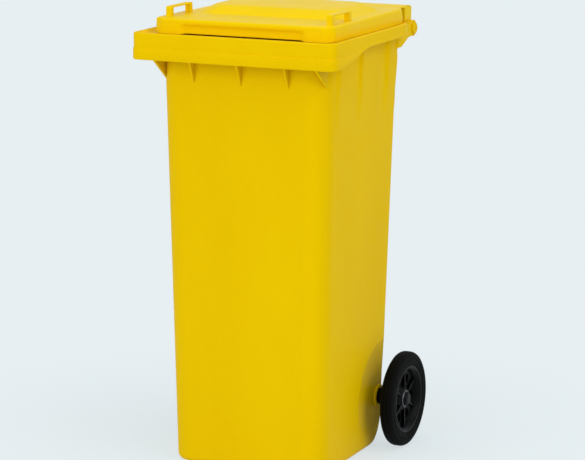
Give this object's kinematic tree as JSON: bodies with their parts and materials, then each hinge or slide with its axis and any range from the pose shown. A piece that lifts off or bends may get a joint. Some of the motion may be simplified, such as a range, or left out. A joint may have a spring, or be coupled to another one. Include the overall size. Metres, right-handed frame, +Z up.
{
  "type": "wheelie bin",
  "caption": "Two-wheeled moulded plastic refuse bin with a rim for comb lifting, a hinged lid with loop handles, rear grips and rubber-tyred wheels on a through axle.",
  "frame": {"origin": "on the ground under the middle of the bin's overall box", "axes": "+Z up, -Y towards the front where the lid is lifted, +X to the right seen from the front"},
  "size_m": [0.472, 0.489, 0.939],
  "materials": {
    "body": "yellow moulded polyethylene, satin",
    "lid": "yellow moulded polyethylene, satin",
    "wheel_plastic": "black moulded plastic, satin",
    "tyre": "black solid rubber",
    "pin_plastic": "yellow moulded plastic, satin",
    "steel": "zinc-plated steel"
  },
  "bodies": {
    "bin": {"body": "body", "axle": "steel", "right_wheel_spacer": "wheel_plastic", "right_wheel_washer": "steel", "right_axle_cap": "wheel_plastic", "right_hinge_pin": "pin_plastic", "left_wheel_spacer": "wheel_plastic", "left_wheel_washer": "steel", "left_axle_cap": "wheel_plastic", "left_hinge_pin": "pin_plastic"},
    "lid": {"lid": "lid"},
    "right_wheel": {"right_wheel_disc": "wheel_plastic", "right_tyre": "tyre"},
    "left_wheel": {"left_wheel_disc": "wheel_plastic", "left_tyre": "tyre"}
  },
  "joints": [
    {"name": "lid_hinge", "type": "hinge", "parent": "bin", "child": "lid", "pos_m": [0, 0.22501, 0.871], "axis": [-1, 0, 0], "range_deg": [0, 240]},
    {"name": "right_wheel_spin", "type": "hinge", "parent": "bin", "child": "right_wheel", "pos_m": [0.222, 0.119, 0.1], "axis": [1, 0, 0], "continuous": true},
    {"name": "left_wheel_spin", "type": "hinge", "parent": "bin", "child": "left_wheel", "pos_m": [-0.222, 0.119, 0.1], "axis": [1, 0, 0], "continuous": true}
  ]
}
